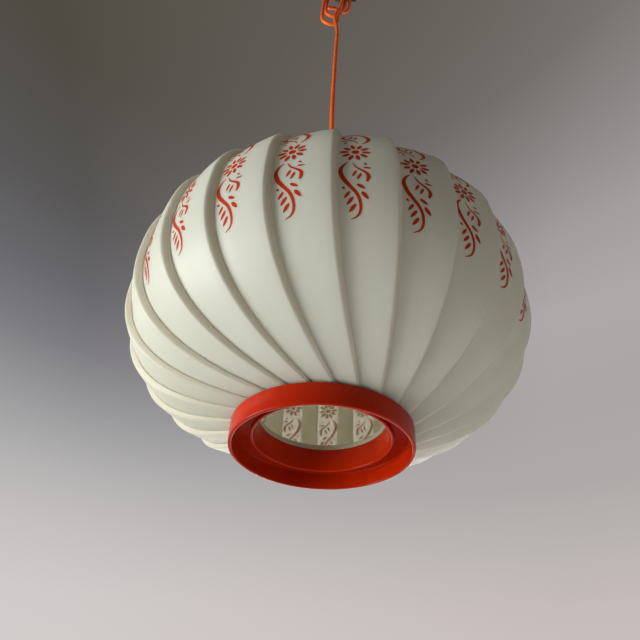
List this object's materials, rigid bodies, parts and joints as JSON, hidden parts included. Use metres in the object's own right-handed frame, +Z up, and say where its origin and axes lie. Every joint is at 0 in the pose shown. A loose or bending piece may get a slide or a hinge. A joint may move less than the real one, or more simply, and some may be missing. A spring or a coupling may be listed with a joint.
{
  "type": "pendant lamp",
  "caption": "Ball-shaped pendant lamp of overlapping white plastic strips with a red flower print, red collars and an orange cord wound up on an S-hook.",
  "frame": {"origin": "centre of the ceiling plate's upper face, where it meets the ceiling", "axes": "+Z up along the hanging cord, +X to the right and -Y towards the viewer in the lamp's front view"},
  "size_m": [0.3083, 0.3079, 1.05],
  "materials": {
    "strip_plastic": "satin translucent",
    "collar_plastic": "glossy orange-red",
    "carrier_plastic": "off-white",
    "holder_plastic": "white moulded",
    "socket_brass": "bright",
    "insert_ceramic": "unglazed",
    "zinc_steel": "zinc plated",
    "cord_jacket": "smooth orange",
    "plug_plastic": "black moulded",
    "black_steel": "black"
  },
  "bodies": {
    "ceiling_mount": {"ceiling_plate": "black_steel", "ceiling_eye": "black_steel", "eye_nut": "black_steel"},
    "hook": {"s_hook": "black_steel"},
    "cord": {"cord_hank": "cord_jacket", "cord_tube": "cord_jacket", "plug_body": "plug_plastic", "plug_pin_left": "socket_brass", "plug_pin_right": "socket_brass"},
    "lamp": {"strip_01": "strip_plastic", "strip_02": "strip_plastic", "strip_03": "strip_plastic", "strip_04": "strip_plastic", "strip_05": "strip_plastic", "strip_06": "strip_plastic", "strip_07": "strip_plastic", "strip_08": "strip_plastic", "strip_09": "strip_plastic", "strip_10": "strip_plastic", "strip_11": "strip_plastic", "strip_12": "strip_plastic", "strip_13": "strip_plastic", "strip_14": "strip_plastic", "strip_15": "strip_plastic", "strip_16": "strip_plastic", "strip_17": "strip_plastic", "strip_18": "strip_plastic", "strip_19": "strip_plastic", "strip_20": "strip_plastic", "strip_21": "strip_plastic", "strip_22": "strip_plastic", "strip_23": "strip_plastic", "strip_24": "strip_plastic", "strip_25": "strip_plastic", "lower_collar": "collar_plastic", "upper_collar": "collar_plastic", "lower_carrier_ring": "carrier_plastic", "upper_carrier_ring": "carrier_plastic", "holder_disc": "carrier_plastic", "holder_skirt": "holder_plastic", "holder_shell": "socket_brass", "holder_insert": "insert_ceramic", "holder_contact": "socket_brass", "holder_terminal_left": "socket_brass", "holder_terminal_right": "socket_brass", "holder_dome": "holder_plastic", "cord_grip": "holder_plastic", "grip_screw": "zinc_steel"},
    "upper_ring": {"shade_ring_upper": "holder_plastic"},
    "lower_ring": {"shade_ring_lower": "holder_plastic"}
  },
  "joints": [
    {"name": "swing_front_back", "type": "hinge", "parent": "ceiling_mount", "child": "hook", "pos_m": [0, 0, -0.0275], "axis": [1, 0, 0], "range_deg": [-20, 20]},
    {"name": "swing_side", "type": "hinge", "parent": "hook", "child": "cord", "pos_m": [0, 0, -0.0652], "axis": [0, 1, 0], "range_deg": [-20, 20]},
    {"name": "lamp_twist", "type": "hinge", "parent": "cord", "child": "lamp", "pos_m": [0, 0, -0.7981], "axis": [0, 0, 1], "range_deg": [-180, 180]},
    {"name": "upper_ring_turn", "type": "hinge", "parent": "lamp", "child": "upper_ring", "pos_m": [0, 0, -0.8475], "axis": [0, 0, 1], "continuous": true},
    {"name": "lower_ring_turn", "type": "hinge", "parent": "lamp", "child": "lower_ring", "pos_m": [0, 0, -0.8497], "axis": [0, 0, 1], "continuous": true}
  ]
}
